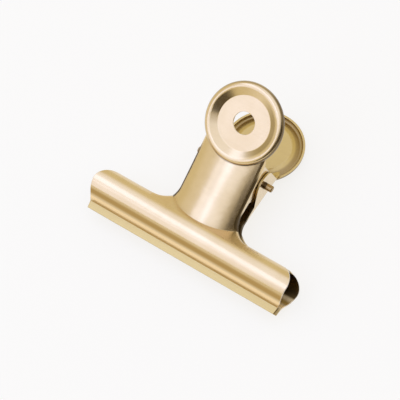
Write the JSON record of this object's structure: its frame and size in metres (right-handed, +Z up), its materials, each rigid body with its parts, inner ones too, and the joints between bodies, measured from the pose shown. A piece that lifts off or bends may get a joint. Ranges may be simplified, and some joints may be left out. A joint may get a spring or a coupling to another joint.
{
  "type": "bulldog clip",
  "caption": "Gold bulldog clip: stamped jaws with rolled barrels and dished, holed finger discs, hinged on a pin and sprung shut to grip a sheaf of papers.",
  "frame": {"origin": "centre of the clip's box on the surface it lies on", "axes": "+X along the barrels, +Y from the lips towards the finger discs, +Z up; the clip lies on its back on the rear jaw's barrel and disc"},
  "size_m": [0.0532, 0.0446, 0.0275],
  "materials": {
    "plated_sheet": "sheet steel with bright satin champagne-gold plating",
    "plated_pin": "steel rod with bright champagne-gold plating",
    "spring_wire": "hard-drawn spring wire with dull gold plating"
  },
  "bodies": {
    "rear_jaw": {"rear_jaw": "plated_sheet", "hinge_pin": "plated_pin", "torsion_spring": "spring_wire"},
    "front_jaw": {"front_jaw": "plated_sheet"}
  },
  "joints": [
    {"name": "jaw_hinge", "type": "hinge", "parent": "rear_jaw", "child": "front_jaw", "pos_m": [0, 0.00147, 0.00955], "axis": [-1, 0, 0], "range_deg": [0, 34], "stiffness_Nm_per_rad": 0.6, "springref_deg": -45.84, "deforming": ["torsion_spring"]}
  ]
}
